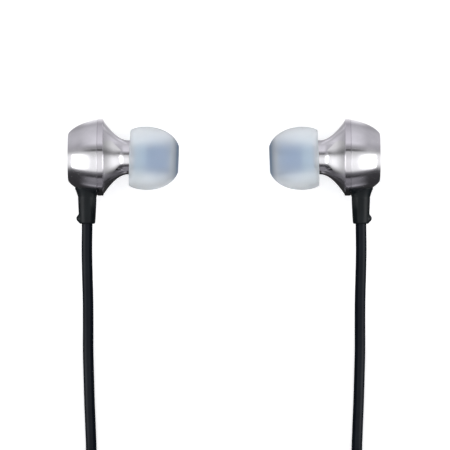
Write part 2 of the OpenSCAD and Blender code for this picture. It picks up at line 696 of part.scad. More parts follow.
module plug_sleeve() {
    inner = stem_d + 6 * layer_t;
    color("#c9b27a") at_plug() union() {
        pipe_y(plug_d, inner, grip_front + shoulder - EPS, sleeve_end);
        pipe_y(shank_d, inner, grip_front - buried, grip_front + shoulder);
        pipe_y(collar_d, inner, grip_front - buried + 0.6, grip_front - buried + 1.2);
    }
}

// Two insulators: one round the stem up to the tip, one round the ring's tube up to the ring.
module plug_insulators() {
    color("#1c1c1e") at_plug() {
        pipe_y(plug_d, stem_d + 2 * press_gap, ring_end, tip_start);
        pipe_y(stem_d + 2 * layer_t - 2 * press_gap, stem_d + 2 * press_gap, grip_front - buried, ring_end + EPS);
        pipe_y(plug_d, stem_d + 4 * layer_t + 2 * press_gap, sleeve_end, ring_start);
        pipe_y(stem_d + 6 * layer_t - 2 * press_gap, stem_d + 4 * layer_t + 2 * press_gap, grip_front - buried,
            sleeve_end + EPS);
    }
}

// Moulded grip with rounded ends, a side outlet and cavities for the contacts, the strain relief and the cord.
module plug_grip() {
    r = grip_d / 2;
    root = grip_front - buried - press_gap;
    color("#24282c") at_plug() difference() {
        union() {
            along_y() rotate_extrude() polygon(concat([[0, -grip_front]],
                arc([r - grip_round, grip_round - grip_front], grip_round, -90, 0),
                arc([r - grip_round, grip_front - grip_round], grip_round, 0, 90), [[0, grip_front]]));
            on_axis() cylinder(d = outlet_d, h = outlet_reach);
        }
        along_y() translate([0, 0, root]) cylinder(d = shank_d + 2 * press_gap, h = grip_len);
        along_y() translate([0, 0, root + 0.6]) cylinder(d = collar_d + 2 * press_gap, h = 0.6 + 2 * press_gap);
        translate([0, root + EPS, 0]) rotate([90, 0, 0]) cylinder(d = 2.4, h = root + 1);
        on_axis() cylinder(d = boot_socket_d + 2 * press_gap, h = outlet_reach + 1);
    }
}

boot_socket_d = 3;

// Tapered, ribbed strain relief pushed into the grip's side outlet.
module plug_strain_relief() {
    r0 = outlet_d / 2 - 0.15;
    r1 = plug_boot_d / 2;
    end = outlet_reach + plug_boot_len;
    step = plug_boot_len / 5;
    color("#24282c") at_plug() on_axis() difference() {
        rotate_extrude() polygon(concat([[0, 2.6], [boot_socket_d / 2, 2.6], [boot_socket_d / 2, outlet_reach + press_gap],
            [r0, outlet_reach + press_gap]],
            [for (k = [1:3]) each [
                [r0 + (r1 - r0) * k / 5, outlet_reach + k * step], [r0 + (r1 - r0) * k / 5 - 0.3, outlet_reach + k * step],
                [r0 + (r1 - r0) * k / 5 - 0.3, outlet_reach + (k + 0.4) * step],
                [r0 + (r1 - r0) * (k + 0.4) / 5, outlet_reach + (k + 0.4) * step]]],
            [[r1, end - 0.3], [r1 - 0.3, end], [0, end]]));
        translate([0, 0, 1]) cylinder(d = hole_d, h = end);
    }
}

// ---- The whole part ----

left_bud() rear_shell();  // left_rear_shell
left_bud() trim_ring();  // left_trim_ring
left_bud() front_shell();  // left_front_shell
left_bud() nozzle();  // left_nozzle
left_bud() nozzle_screen();  // left_nozzle_screen
left_bud() ear_tip();  // left_ear_tip
left_bud() driver_frame();  // left_driver_frame
left_bud() yoke();  // left_yoke
left_bud() magnet();  // left_magnet
left_bud() pole_plate();  // left_pole_plate
left_bud() voice_coil();  // left_voice_coil
left_bud() diaphragm();  // left_diaphragm
left_bud() driver_cover();  // left_driver_cover
left_bud() terminal_board();  // left_terminal_board
left_bud() signal_wires();  // left_signal_wires
left_bud() vent_screen();  // left_vent_screen
left_bud() strain_relief();  // left_strain_relief
left_bud() cord_clamp();  // left_cord_clamp
cord(concat(side_route, meets_start(side_line)));  // left_cord
coil(side_line);  // left_cord_coil
cord(concat(meets_end(side_line), left_tail_route));  // left_cord_tail

right_bud() rear_shell();  // right_rear_shell
right_bud() trim_ring();  // right_trim_ring
right_bud() front_shell();  // right_front_shell
right_bud() nozzle();  // right_nozzle
right_bud() nozzle_screen();  // right_nozzle_screen
right_bud() ear_tip();  // right_ear_tip
right_bud() driver_frame();  // right_driver_frame
right_bud() yoke();  // right_yoke
right_bud() magnet();  // right_magnet
right_bud() pole_plate();  // right_pole_plate
right_bud() voice_coil();  // right_voice_coil
right_bud() diaphragm();  // right_diaphragm
right_bud() driver_cover();  // right_driver_cover
right_bud() terminal_board();  // right_terminal_board
right_bud() signal_wires();  // right_signal_wires
right_bud() vent_screen();  // right_vent_screen
right_bud() strain_relief();  // right_strain_relief
right_bud() cord_clamp();  // right_cord_clamp
mirror([1, 0, 0]) cord(concat(side_route, meets_start(side_line)));  // right_cord
mirror([1, 0, 0]) coil(side_line);  // right_cord_coil
cord(concat(meets_end(mirrored(side_line)), right_tail_route));  // right_cord_tail

splitter_upper_shell();
splitter_lower_shell();
cord(concat(main_route, meets_start(main_line)));  // main_cord
coil(main_line);  // main_cord_coil
cord(concat(meets_end(main_line), main_tail_route));  // main_cord_tail
coil_straps();
plug_tip();
plug_ring();
plug_sleeve();
plug_insulators();
plug_grip();
plug_strain_relief();
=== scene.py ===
import math

import bpy
import numpy as np
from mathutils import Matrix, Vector
from mathutils.kdtree import KDTree


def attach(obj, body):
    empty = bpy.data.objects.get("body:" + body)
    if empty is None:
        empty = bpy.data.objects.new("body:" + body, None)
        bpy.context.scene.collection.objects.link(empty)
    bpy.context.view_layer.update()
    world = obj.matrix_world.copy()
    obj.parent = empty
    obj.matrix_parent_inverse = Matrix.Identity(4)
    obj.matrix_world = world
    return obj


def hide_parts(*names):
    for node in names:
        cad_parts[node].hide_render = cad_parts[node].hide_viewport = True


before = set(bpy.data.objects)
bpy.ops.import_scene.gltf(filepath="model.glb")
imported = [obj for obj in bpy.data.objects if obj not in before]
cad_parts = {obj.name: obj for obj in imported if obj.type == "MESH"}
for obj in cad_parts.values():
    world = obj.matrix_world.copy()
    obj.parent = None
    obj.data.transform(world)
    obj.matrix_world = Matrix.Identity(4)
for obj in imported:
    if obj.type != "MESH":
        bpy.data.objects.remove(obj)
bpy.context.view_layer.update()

# Wired in-ear earphones: two mirrored metal buds with silicone ear tips, a Y cord, a splitter and
# an angled plug. Sizes are in millimetres, as in the part's source, and meshes are written in
# metres. Only the camera's and the studio's own sizes are in metres.

MM = 0.001

# Bud, as distances along its axis from the flat back
BACK_X = 29.67        # middle plane to the flat back
AXIS_Z = 7.3
REAR_LEN = 5.6
RING_U, FLANGE_U = 5.68, 6.78
HORN_CORNER_U, NECK_U, FRONT_U = 9.291, 11.43, 12.03
SPIGOT_U, SHOULDER_U, HORN_BORE_U = 5.38, 7.27, 10.4
TIP_U, TIP_WIDEST_U, TIP_FRONT_U = 11.73, 14.83, 21.03
SLEEVE_U, SLEEVE_STEP_U, WEB_U = 12.63, 14.85, 19.83
TILT, TILT_U = math.radians(2), 9.43

# Bud, as radii
BACK_R, RIM_R, RING_R, FLANGE_R, NECK_R = 4.25, 7.22, 7.3, 6.95, 3.25
SPIGOT_R, DRIVER_R, HORN_BORE_R, SEAT_R = 6.6, 5.55, 5.3, 2.22
VENT_R, WALL, HORN_WALL, SEAT_DEPTH = 0.4, 0.6, 0.7, 1.5
TIP_R, TIP_RIM_R, TIP_WALL = 6.02, 5.3, 0.5
SLEEVE_R, SLEEVE_BORE_R, SLEEVE_STEP, SOUND_R = 3.18, 2.58, 0.14, 1.9

# Roundings of edges, and the play between faces that lie hidden in a seam
EDGE, CRISP_EDGE, LIP_EDGE = 0.1, 0.06, 0.12
RING_CROWN, RING_EDGE, RING_CHAMFER = 0.3, 0.15, 0.04
PLAY = 0.02

# Strain relief, along the cord's line from the bud's axis, and the marker dot on its outer side
BOOT_U, BOOT_TOP, BOOT_END, BOOT_FOOT = 3.67, 7.6, 12.65, 2.6
BOOT_FLARE_R, BOOT_TOP_R, BOOT_END_R, BOOT_BORE_R, BOOT_ROUND = 2.3, 1.75, 1.5, 1.1, 0.35
DOT_H, DOT_R, DOT_FROM_END = 0.49, 0.62, 1

# Cord
CORD_D, TURN_STEP, COIL_Z = 2.05, 2.55, 1.575
STEPS_A_TURN = 24
SIDE_CENTRE, SIDE_R, SIDE_START, SIDE_STEPS, SIDE_LAYERS = (-14.6, -72.0), 13.2, 180, 101, 2
MAIN_CENTRE, MAIN_R, MAIN_START, MAIN_STEPS, MAIN_LAYERS = (14.2, -104.0), 14.3, 250, 283, 4
STRAP_W, STRAP_T, STRAP_PLAY = 4.0, 0.5, 0.03

SIDE_ROUTE = [
    (-26, -3.7, 7.3), (-26, -8.5, 7.3), (-26.02, -13, 7.3), (-26.08, -17.5, 6.9),
    (-26.02, -22, 6), (-25.92, -27, 4.6), (-25.92, -32, 3.1), (-25.95, -37, 1.8),
    (-25.84, -42, 1.2), (-25.7, -47, 1.05), (-25.5, -52, 1.05), (-25.4, -57, 1.05), (-26, -62, 1.2),
]
LEFT_TAIL = [
    (-12.9, -86.2, 3), (-9.2, -88.8, 2.1), (-7.6, -92.6, 2.1), (-7.35, -96, 2.2), (-7.35, -99, 2.2),
]
RIGHT_TAIL = [
    (11, -86.9, 3.2), (6.5, -88.1, 2.4), (2, -89.2, 1.9), (-2.2, -90.8, 1.9), (-4.4, -93.6, 2.1),
    (-4.65, -96.2, 2.2), (-4.65, -99, 2.2),
]
MAIN_ROUTE = [
    (-6, -105.5, 2.2), (-6, -108.5, 2.2), (-5.5, -111, 2), (-3.6, -112.8, 1.7),
    (-0.4, -113.9, 1.6), (3, -115.1, 1.6),
]
MAIN_TAIL = [
    (-1, -108.6, 9), (-3, -111.9, 8), (-6, -114, 6.4), (-9.2, -114.9, 4.7), (-12.4, -115, 3.8),
    (-15.5, -115, 3.8), (-18, -115, 3.8),
]


# ---- Camera ----

lens = bpy.data.cameras.new("long_lens")
lens.lens = 500
lens.sensor_width = 36
camera = bpy.data.objects.new("overhead_camera", lens)
camera.location = (0.00018, -0.01287, 1.1953)     # far above, so that the buds show almost in plan
camera.rotation_euler = (0, 0, 0)
bpy.context.scene.collection.objects.link(camera)
bpy.context.scene.camera = camera


# ---- Lines and surfaces ----

def bend(a, b, c, n=40):
    """Quadratic curve from a to c with corner b: (1-t)^2 a + 2t(1-t) b + t^2 c, t from 0 to 1."""
    a, b, c = (np.asarray(p, float) for p in (a, b, c))
    t = np.linspace(0, 1, n + 1)[:, None]
    return (1 - t) ** 2 * a + 2 * t * (1 - t) * b + t ** 2 * c


def bend4(a, b, c, d, n=60):
    """Cubic curve from a to d that leaves towards b and arrives from c."""
    a, b, c, d = (np.asarray(p, float) for p in (a, b, c, d))
    t = np.linspace(0, 1, n + 1)[:, None]
    s = 1 - t
    return s ** 3 * a + 3 * s * s * t * b + 3 * s * t * t * c + t ** 3 * d


def corner(centre, r, start, stop, n=8):
    """Arc round centre: centre + r (cos a, sin a), for a from start to stop degrees."""
    a = np.radians(np.linspace(start, stop, n + 1))[:, None]
    return np.asarray(centre, float) + r * np.hstack([np.cos(a), np.sin(a)])


def inset(line, d):
    """The line moved d to its left: p + d times the unit tangent turned by 90 degrees."""
    t = np.gradient(line, axis=0)
    t /= np.linalg.norm(t, axis=1, keepdims=True)
    return line + d * np.stack([-t[:, 1], t[:, 0]], 1)


def line(*parts):
    """Points and runs of points joined into one outline."""
    return np.vstack([np.atleast_2d(np.asarray(p, float)) for p in parts])


def flow(points, between=4):
    """Smooth line through the points: a cubic between each two of them, whose end slopes are half
    the step from the point before to the point after."""
    p = np.asarray(points, float)
    q = np.vstack([2 * p[0] - p[1], p, 2 * p[-1] - p[-2]])
    t = np.linspace(0, 1, between, endpoint=False)[None, :, None]
    a, b, c, d = (q[i:len(q) - 3 + i][:, None, :] for i in range(4))
    runs = 0.5 * (2 * b + (c - a) * t + (2 * a - 5 * b + 4 * c - d) * t ** 2
                  + (3 * b - a - 3 * c + d) * t ** 3)
    return np.vstack([runs.reshape(-1, p.shape[1]), p[-1:]])


def grid_piece(name, points, rows_close=True, sharp=60, tone=None):
    """Mesh on a grid of points in millimetres, rows by columns, whose rows are closed loops. Each
    four neighbours make a face. Where the last row doesn't join the first, both get a flat cap. The
    UV map holds the distance round and along in millimetres, and tone is one number for each row,
    kept as the attribute tone. Edges over sharp degrees aren't smoothed."""
    n, m = points.shape[:2]
    i, j = np.meshgrid(np.arange(n - (not rows_close)), np.arange(m), indexing="ij")
    i2, j2 = (i + 1) % n, (j + 1) % m
    faces = np.stack([i * m + j, i2 * m + j, i2 * m + j2, i * m + j2], -1).reshape(-1, 4)
    step_v = np.linalg.norm(np.roll(points, -1, 0) - points, axis=-1).mean(1)
    step_u = np.linalg.norm(np.roll(points, -1, 1) - points, axis=-1).mean(0)
    v = np.concatenate([[0], np.cumsum(step_v)])
    u = np.concatenate([[0], np.cumsum(step_u)])
    uv = np.stack([np.stack([u[j], v[i]], -1), np.stack([u[j], v[i + 1]], -1),
                   np.stack([u[j + 1], v[i + 1]], -1), np.stack([u[j + 1], v[i]], -1)], 2)
    uv = uv.reshape(-1, 4, 2)
    flat = points.reshape(-1, 3)
    a, b, c, d = (flat[faces[:, k]] for k in range(4))
    middle = flat.mean(0)
    volume = np.einsum("ij,ij->", a - middle, np.cross(b - middle, c - middle)) + \
        np.einsum("ij,ij->", a - middle, np.cross(c - middle, d - middle))
    inwards = volume < 0
    if inwards:
        faces, uv = faces[:, ::-1], uv[:, ::-1]
    every = faces.tolist()
    if not rows_close:
        first, last = list(range(m)), list(range((n - 1) * m, n * m))
        every += [first, last[::-1]] if inwards else [first[::-1], last]
    mesh = bpy.data.meshes.new(name)
    mesh.from_pydata((flat * MM).tolist(), [], every)
    mesh.uv_layers.new(name="around_and_along")
    corners = np.zeros((len(mesh.loops), 2), np.float32)
    corners[:uv.shape[0] * 4] = uv.reshape(-1, 2)
    mesh.uv_layers[0].data.foreach_set("uv", corners.ravel())
    if tone is not None:
        kept = mesh.attributes.new("tone", "FLOAT", "POINT")
        kept.data.foreach_set("value", np.repeat(np.asarray(tone, np.float32), m))
    mesh.shade_smooth()
    mesh.set_sharp_from_angle(angle=math.radians(sharp))
    piece = bpy.data.objects.new(name, mesh)
    bpy.context.scene.collection.objects.link(piece)
    return piece


def turned(name, outline, lie, sides=160, **how):
    """Body of revolution. The closed outline's point (r, u), turned through angle a, is the point
    (u, r sin a, r cos a) of the bud's own frame, which lie puts in its place."""
    a = np.linspace(0, 2 * np.pi, sides, endpoint=False)
    r, u = outline[:, :1], outline[:, 1:]
    local = np.stack([u + 0 * a, r * np.sin(a), r * np.cos(a)], -1)
    return grid_piece(name, lie(local), **how)


def on_bud(side):
    """Puts a bud's own points in place, on the left (-1) or the right (1). Their X runs from the
    flat back towards the middle plane."""
    return lambda p: np.stack([side * (BACK_X - p[..., 0]), p[..., 1], AXIS_Z + p[..., 2]], -1)


def on_tip(side):
    """The same for what sits on the nozzle, which is turned towards the cord, about a point inside
    the horn."""
    c, s = math.cos(TILT), math.sin(TILT)
    put = on_bud(side)
    return lambda p: put(np.stack([TILT_U + c * (p[..., 0] - TILT_U) + s * p[..., 1],
                                   c * p[..., 1] - s * (p[..., 0] - TILT_U), p[..., 2]], -1))


def on_boot(side):
    """The same for what lies round the cord's line, where the axis runs along -Y."""
    return lambda p: np.stack([side * (BACK_X - BOOT_U - p[..., 1]), -p[..., 0],
                               AXIS_Z + p[..., 2]], -1)


def tube(name, points, d, sides=24):
    """Round tube of diameter d: at each point a circle across the line, with its up nearest Z."""
    t = np.gradient(points, axis=0)
    t /= np.linalg.norm(t, axis=1, keepdims=True)
    side = np.cross([0.0, 0.0, 1.0], t)
    side /= np.linalg.norm(side, axis=1, keepdims=True)
    up = np.cross(t, side)
    a = np.linspace(0, 2 * np.pi, sides, endpoint=False)[None, :, None]
    circles = points[:, None] + d / 2 * (np.cos(a) * side[:, None] + np.sin(a) * up[:, None])
    return grid_piece(name, circles, rows_close=False)


def coil_line(centre, r, start, steps, layers):
    """Centre line of a coil, anticlockwise from above: the angle grows by a turn / STEPS_A_TURN a
    step, the radius falls and rises by TURN_STEP a turn from layer to layer, and the line climbs by
    TURN_STEP in the half turn round each reversal. Both ends run straight for one diameter."""
    per_layer = steps / STEPS_A_TURN / layers
    s = np.arange(steps + 1) / STEPS_A_TURN
    q = np.minimum(s / per_layer, layers - 0.001)
    k = np.floor(q)
    f = q - k
    a = np.radians(start + 360 * s)
    away = r - np.where(k % 2 == 0, f, 1 - f) * per_layer * TURN_STEP
    climb = sum(np.clip(2 * (s - m * per_layer) + 0.5, 0, 1) for m in range(1, layers))
    turns = np.stack([centre[0] + away * np.cos(a), centre[1] + away * np.sin(a),
                      COIL_Z + climb * TURN_STEP], 1)
    ahead = CORD_D * np.array([[-math.sin(x), math.cos(x), 0] for x in (a[0], a[-1])])
    return np.vstack([turns[:1] - ahead[0], turns, turns[-1:] + ahead[1]])


# ---- Materials ----

def colour(code):
    """An sRGB hex colour as Blender's linear colour."""
    s = np.array([int(code[k:k + 2], 16) for k in (1, 3, 5)]) / 255
    return (*np.where(s <= 0.04045, s / 12.92, ((s + 0.055) / 1.055) ** 2.4), 1.0)


def add(owner, kind, inputs=None, **settings):
    """Adds a node to a material or world. settings are its properties, and inputs its sockets: a
    socket given an output is linked to it."""
    node = owner.node_tree.nodes.new("ShaderNode" + kind)
    for key, value in settings.items():
        setattr(node, key, value)
    for key, value in (inputs or {}).items():
        if isinstance(value, bpy.types.NodeSocket):
            owner.node_tree.links.new(value, node.inputs[key])
        else:
            node.inputs[key].default_value = value
    return node


def new_material(name):
    material = bpy.data.materials.new(name)
    material.use_nodes = True
    material.node_tree.nodes.clear()
    return material


def ramp(material, value, *stops):
    """A colour ramp, given as pairs of place and hex colour."""
    node = add(material, "ValToRGB", {"Fac": value})
    while len(node.color_ramp.elements) < len(stops):
        node.color_ramp.elements.new(0.5)
    for element, (place, code) in zip(node.color_ramp.elements, stops):
        element.position = place
        element.color = colour(code)
    return node.outputs["Color"]


def between(material, value, span, low, high):
    """The value carried over from span to the range from low to high, and kept in it."""
    return add(material, "MapRange", {"Value": value, "From Min": span[0], "From Max": span[1],
                                      "To Min": low, "To Max": high}).outputs["Result"]


NOISE_SPAN = (0.3, 0.7)      # where nearly all values of Blender's noise lie


def finish_material(name, low, high, rough, grain, bump=0.0, mottle=2.5, uv=None, **shader):
    """Surface whose colour drifts between two hex colours over mottle millimetres, whose roughness
    drifts between two values, and whose bump has a grain of so many millimetres and that height.
    uv = (x, y) stretches the grain along the piece's own UV map, as for turned or extruded
    surfaces."""
    m = new_material(name)
    if uv:
        flat = add(m, "UVMap", uv_map="around_and_along").outputs["UV"]
        place = add(m, "Mapping", {"Vector": flat, "Scale": (uv[0], uv[1], 1)}).outputs["Vector"]
        fine = add(m, "TexNoise", {"Vector": place, "Scale": 1 / grain, "Detail": 2})
    else:
        place = add(m, "TexCoord").outputs["Object"]
        fine = add(m, "TexNoise", {"Vector": place, "Scale": 1000 / grain, "Detail": 2})
    broad = add(m, "TexNoise", {"Vector": add(m, "TexCoord").outputs["Object"],
                                "Scale": 1000 / mottle, "Detail": 3})
    tint = ramp(m, broad.outputs["Fac"], (NOISE_SPAN[0], low), (NOISE_SPAN[1], high))
    rough_value = between(m, fine.outputs["Fac"], NOISE_SPAN, *rough)
    body = add(m, "BsdfPrincipled", {"Base Color": tint, "Roughness": rough_value})
    if bump:
        relief = add(m, "Bump", {"Height": fine.outputs["Fac"], "Strength": 1.0,
                                 "Distance": bump * MM})
        m.node_tree.links.new(relief.outputs["Normal"], body.inputs["Normal"])
    for key, value in shader.items():
        body.inputs[key.replace("_", " ")].default_value = value
    m.node_tree.links.new(body.outputs[0], add(m, "OutputMaterial").inputs["Surface"])
    return m


# Burnished and clear-anodised aluminium: clear, cool reflections with a trace of grain. The real
# grain is 0.05 mm, and it is drawn at 0.2 mm so that it shows.
satin_aluminium = finish_material(
    "burnished_anodised_aluminium", "#dddce0", "#e6e5e9", (0.1, 0.14), 0.2, 0.0003, Metallic=1.0)

# Turned, polished and plated ring: sharper and darker reflections, with the lathe's fine lines
# round it.
polished_ring = finish_material(
    "polished_nickel_plate", "#d2d0d5", "#dcdadf", (0.08, 0.11), 0.12, 0.0003, uv=(0.02, 1),
    Metallic=1.0)

# Moulded thermoplastic elastomer of the strain relief: near black with a cool, slightly glossy
# skin.
moulded_elastomer = finish_material(
    "moulded_black_elastomer", "#101417", "#161b1e", (0.3, 0.36), 0.25, 0.002,
    Specular_IOR_Level=0.16)

# Extruded cord jacket: blue-black and half matt, with faint draw lines along it.
cord_jacket = finish_material(
    "extruded_cord_jacket", "#080d15", "#0d131b", (0.3, 0.38), 0.5, 0.0015, uv=(1, 0.06),
    Specular_IOR_Level=0.14)

# The walls of an ear tip, as values of its attribute tone, which sets their colour, with its
# painted shade, and how clear they are
SKIRT_TONE, WEB_TONE, REAR_SLEEVE_TONE, FRONT_SLEEVE_TONE = 0.0, 0.5, 0.8, 1.0


def silicone():
    """Moulded clear-blue silicone of the ear tip: milky and clear in the skirt, where it lets the
    sleeve show through. The web and the sleeve are bluer, darker and closed: partly the silicone's
    own blue, and partly painted shade for the light lost in thick silicone and in the bore behind
    them."""
    m = new_material("milky_silicone")
    place = add(m, "TexCoord").outputs["Object"]
    tone = add(m, "Attribute", attribute_name="tone").outputs["Fac"]
    fine = add(m, "TexNoise", {"Vector": place, "Scale": 1000 / 0.6, "Detail": 2}).outputs["Fac"]
    tint = ramp(m, tone, (SKIRT_TONE, "#f4f8fa"), (WEB_TONE, "#6b7d93"),
                (REAR_SLEEVE_TONE, "#98b9d5"), (FRONT_SLEEVE_TONE, "#4f82b8"))
    clear = between(m, tone, (SKIRT_TONE, WEB_TONE), 0.8, 0.05)
    cover = between(m, tone, (SKIRT_TONE, WEB_TONE), 0.8, 1.0)
    relief = add(m, "Bump", {"Height": fine, "Strength": 1.0, "Distance": 0.001 * MM})
    body = add(m, "BsdfPrincipled", {
        "Base Color": tint, "Roughness": between(m, fine, NOISE_SPAN, 0.46, 0.54),
        "Normal": relief.outputs["Normal"], "IOR": 1.41, "Transmission Weight": clear,
        "Alpha": cover})
    m.node_tree.links.new(body.outputs[0], add(m, "OutputMaterial").inputs["Surface"])
    return m


milky_silicone = silicone()

nozzle_metal = finish_material(
    "turned_aluminium", "#b4b3b8", "#c4c3c8", (0.2, 0.3), 0.15, 0.001, Metallic=1.0)
steel_mesh = finish_material(
    "woven_steel_mesh", "#5c5e63", "#7d7f85", (0.3, 0.45), 0.1, 0.02, Metallic=1.0)
frame_plastic = finish_material(
    "moulded_nylon_frame", "#2e3136", "#3a3d43", (0.45, 0.6), 0.3, 0.003, IOR=1.53)
plated_steel = finish_material(
    "zinc_plated_steel", "#9fa2a8", "#b3b6bb", (0.25, 0.38), 0.2, 0.001, Metallic=1.0)
plated_magnet = finish_material(
    "nickel_plated_magnet", "#c2bfb8", "#cfccc5", (0.14, 0.22), 0.2, 0.001, Metallic=1.0)
coil_wire = finish_material(
    "enamelled_copper_winding", "#a4552b", "#c07040", (0.25, 0.35), 0.08, 0.01, Metallic=1.0)
diaphragm_film = finish_material(
    "pressed_polymer_film", "#cdb987", "#ddcb9b", (0.2, 0.3), 0.4, 0.002, IOR=1.6)
circuit_board = finish_material(
    "green_solder_mask", "#1f5a31", "#2a6d3d", (0.25, 0.35), 0.3, 0.003, IOR=1.5)
wire_insulation = finish_material(
    "red_wire_insulation", "#a82c20", "#bd3a2c", (0.35, 0.45), 0.2, 0.002, IOR=1.5)
moulded_plastic = finish_material(
    "moulded_black_abs", "#1b1f22", "#23282b", (0.38, 0.5), 0.3, 0.004, IOR=1.53)
strap_fabric = finish_material(
    "hook_and_loop_tape", "#26282c", "#3a3d42", (0.8, 0.95), 0.25, 0.08, IOR=1.45)
steel_shim = finish_material(
    "turned_steel_shim", "#c3c1c6", "#cecdd1", (0.2, 0.28), 0.12, 0.0005, uv=(0.02, 1),
    Metallic=1.0)
gold_contact = finish_material(
    "gold_plated_brass", "#d9b565", "#e2c27a", (0.1, 0.18), 0.2, 0.0005, Metallic=1.0)
insulator_plastic = finish_material(
    "black_acetal", "#17181a", "#1f2022", (0.35, 0.45), 0.2, 0.001, IOR=1.48)

NODE_FINISHES = {
    "nozzle": nozzle_metal, "nozzle_screen": steel_mesh, "driver_frame": frame_plastic,
    "yoke": plated_steel, "magnet": plated_magnet, "pole_plate": plated_steel,
    "voice_coil": coil_wire, "diaphragm": diaphragm_film, "driver_cover": steel_mesh,
    "terminal_board": circuit_board, "signal_wires": wire_insulation, "vent_screen": steel_mesh,
    "cord_clamp": plated_steel, "rear_shell": satin_aluminium, "trim_ring": polished_ring,
    "front_shell": satin_aluminium, "ear_tip": milky_silicone, "strain_relief": moulded_elastomer,
    "cord": cord_jacket, "cord_coil": cord_jacket, "cord_tail": cord_jacket,
    "splitter_upper_shell": moulded_plastic, "splitter_lower_shell": moulded_plastic,
    "main_cord": cord_jacket, "main_cord_coil": cord_jacket, "main_cord_tail": cord_jacket,
    "coil_straps": strap_fabric, "plug_tip": gold_contact, "plug_ring": gold_contact,
    "plug_sleeve": gold_contact, "plug_insulators": insulator_plastic,
    "plug_grip": moulded_plastic, "plug_strain_relief": moulded_elastomer,
}
for node_name, node_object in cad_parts.items():
    plain = node_name.replace("left_", "").replace("right_", "")
    node_object.data.materials.clear()
    node_object.data.materials.append(NODE_FINISHES[plain])


def place_piece(piece, material, body, slot, *nodes):
    """Gives a finished piece its material, the body that it moves with, and the solids that it
    stands for, if any. slot is not used."""
    piece.data.materials.append(material)
    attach(piece, body)
    if nodes:
        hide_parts(*nodes)


# ---- Buds ----
# Outlines run round the cut wall as points (distance from the axis, distance from the back).

back_edge = (BACK_R + 0.35, 0.12)
rear_curve = bend(back_edge, (BACK_R + 2.15, 1.5), (RIM_R, REAR_LEN))
rear_inner = inset(rear_curve, WALL)
rear_inner = rear_inner[(rear_inner[:, 1] > WALL) & (rear_inner[:, 1] < SPIGOT_U - 0.05)]
horn_curve = bend((FLANGE_R, FLANGE_U + 0.05), (NECK_R, HORN_CORNER_U), (NECK_R, NECK_U))
horn_inner = inset(horn_curve, HORN_WALL)
horn_inner = horn_inner[(horn_inner[:, 1] > SHOULDER_U + 0.3) & (horn_inner[:, 1] < HORN_BORE_U)
                        & (horn_inner[:, 0] < HORN_BORE_R)]
seat_back = FRONT_U - SEAT_DEPTH
ring_front = FLANGE_U - PLAY
ring_bore = SPIGOT_R + PLAY

REAR_OUTLINE = line(
    (VENT_R, WALL), corner((VENT_R + EDGE, EDGE), EDGE, 180, 270, 4),
    bend((BACK_R - 0.5, 0), (BACK_R + 0.12, 0), back_edge, 8), rear_curve[1:-1],
    corner((RIM_R - CRISP_EDGE, REAR_LEN - CRISP_EDGE), CRISP_EDGE, 0, 90, 3),
    (ring_bore, REAR_LEN), (ring_bore, SPIGOT_U - PLAY), rear_inner[::-1],
    (rear_inner[0][0] - 0.05, WALL))
RING_OUTLINE = line(
    (ring_bore, RING_U), (RING_R - RING_CHAMFER, RING_U),
    corner((RING_R - RING_CROWN, RING_U + RING_CROWN), RING_CROWN, -12, 0),
    corner((RING_R - RING_EDGE, ring_front - RING_EDGE), RING_EDGE, 0, 90),
    (ring_bore, ring_front))
HORN_OUTLINE = line(
    (SPIGOT_R - 0.45, SPIGOT_U), (SPIGOT_R, SPIGOT_U), (SPIGOT_R, FLANGE_U),
    (FLANGE_R - 0.03, FLANGE_U), horn_curve,
    corner((NECK_R - EDGE, FRONT_U - EDGE), EDGE, 0, 90, 4), (SEAT_R, FRONT_U),
    (SEAT_R, seat_back), (horn_inner[-1][0], seat_back), horn_inner[::-1],
    (horn_inner[0][0], SHOULDER_U), (DRIVER_R, SHOULDER_U))

# The shim lies in the groove between the rear shell and the ring.
shim_r, shim_sink = RIM_R - 0.04, 0.04
SHIM_OUTLINE = line(
    (ring_bore, REAR_LEN - shim_sink), (RIM_R - 0.07, REAR_LEN - shim_sink), (shim_r, REAR_LEN),
    (shim_r, RING_U), (RIM_R - 0.07, RING_U + shim_sink), (ring_bore, RING_U + shim_sink))

tip_rear = bend((TIP_RIM_R, TIP_U + 0.06), (TIP_R - 0.08, TIP_U + 0.93), (TIP_R, TIP_WIDEST_U), 30)
tip_front = bend4((TIP_R, TIP_WIDEST_U), (TIP_R, TIP_U + 6.2),
                  (TIP_R * 0.756, TIP_FRONT_U - 0.65), (TIP_R * 0.4, TIP_FRONT_U))
tip_inner = inset(line(tip_rear, tip_front[1:]), TIP_WALL)
tip_inner = tip_inner[(tip_inner[:, 1] > TIP_U + 0.3) & (tip_inner[:, 1] < WEB_U - 0.2)]
root_r = (tip_inner[-1][0] + SLEEVE_R) / 2
sleeve_end = SLEEVE_U + EDGE
TIP_OUTLINE = line(
    corner((TIP_RIM_R - LIP_EDGE, TIP_U + LIP_EDGE), LIP_EDGE, 270, 330, 4), tip_rear[1:],
    tip_front[1:], (SOUND_R + 0.15, TIP_FRONT_U),
    corner((SOUND_R + LIP_EDGE, TIP_FRONT_U - LIP_EDGE), LIP_EDGE, 90, 180, 4),
    (SOUND_R, WEB_U), (SLEEVE_BORE_R, WEB_U - 0.05), (SLEEVE_BORE_R, SLEEVE_STEP_U),
    (SLEEVE_BORE_R, sleeve_end), corner((SLEEVE_BORE_R + EDGE, sleeve_end), EDGE, 180, 270, 4),
    corner((SLEEVE_R - SLEEVE_STEP - EDGE, sleeve_end), EDGE, 270, 360, 4),
    (SLEEVE_R - SLEEVE_STEP, SLEEVE_STEP_U), (SLEEVE_R, SLEEVE_STEP_U + 0.12),
    bend((SLEEVE_R, WEB_U - 0.7), (SLEEVE_R, WEB_U), (root_r, WEB_U), 6), tip_inner[::-1][1:],
    (TIP_RIM_R - 0.25, TIP_U + LIP_EDGE))
# Painted shade: the tone darkens towards the web at the front, and the sleeve takes the darker
# sleeve tones.
tip_tone = np.clip((TIP_OUTLINE[:, 1] - (WEB_U - 0.2)) / 1.1, 0, 1) * WEB_TONE
